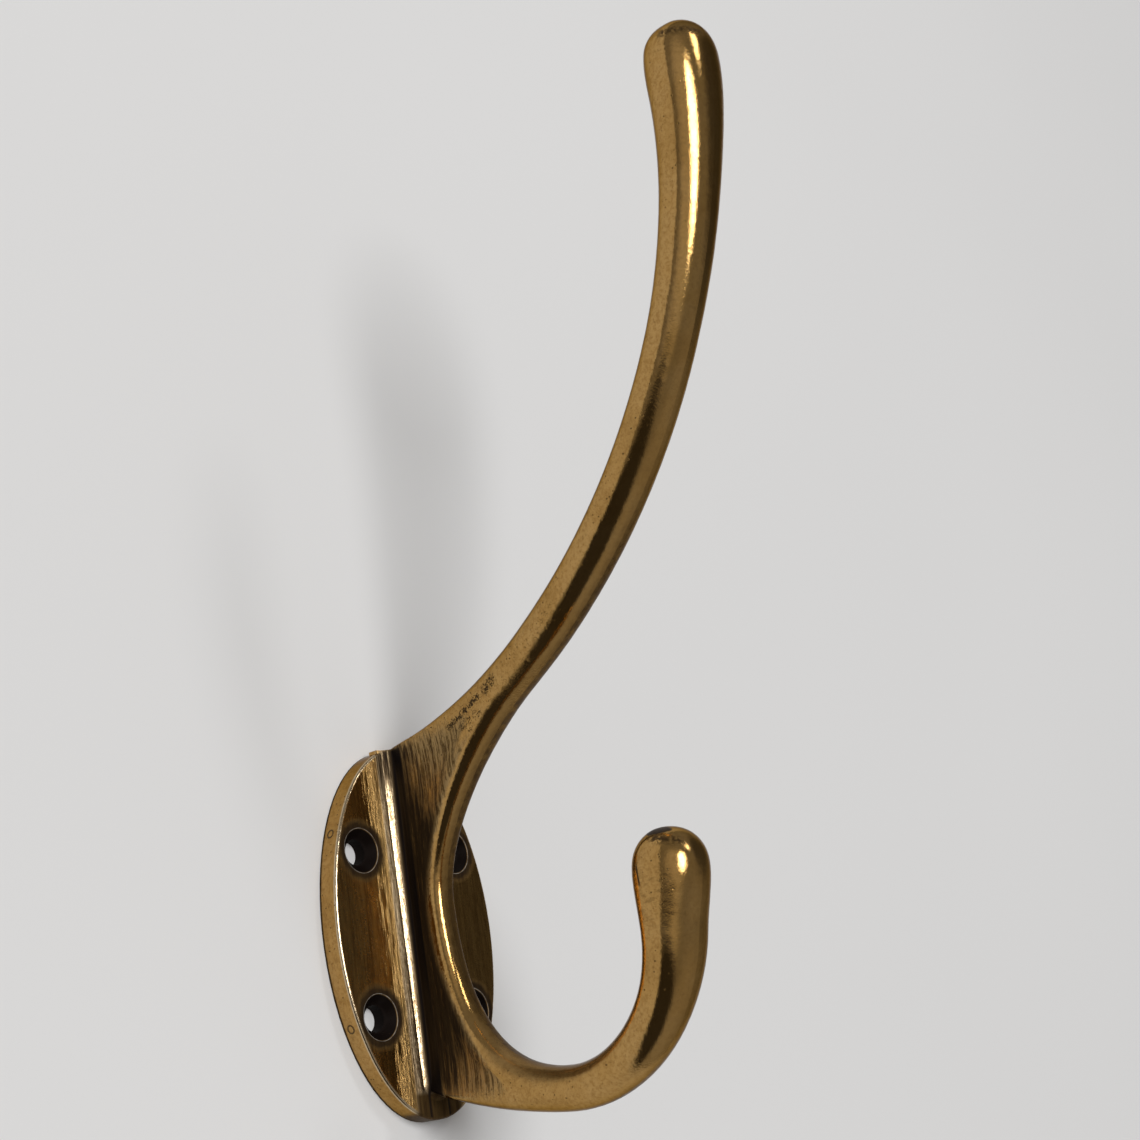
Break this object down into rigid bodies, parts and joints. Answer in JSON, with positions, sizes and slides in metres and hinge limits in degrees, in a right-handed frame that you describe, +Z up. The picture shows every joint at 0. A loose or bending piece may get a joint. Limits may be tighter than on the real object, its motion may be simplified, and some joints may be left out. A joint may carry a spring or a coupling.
{
  "type": "double robe hook",
  "caption": "Cast brass double robe hook: oval wall plate, thin web, long curved upper prong and short J-shaped lower prong with rounded ends.",
  "frame": {"origin": "middle of the screw hole pattern on the plate's flat back face, which lies against the wall", "axes": "+X to the right as seen from the front, +Y into the wall, +Z up along the plate; the prongs stand out towards -Y"},
  "size_m": [0.0384, 0.0981, 0.1737],
  "materials": {
    "antique_brass": "polished antique brass, with dark brown patina in the hollows"
  },
  "bodies": {
    "root": {"hook_casting": "antique_brass"}
  },
  "joints": []
}
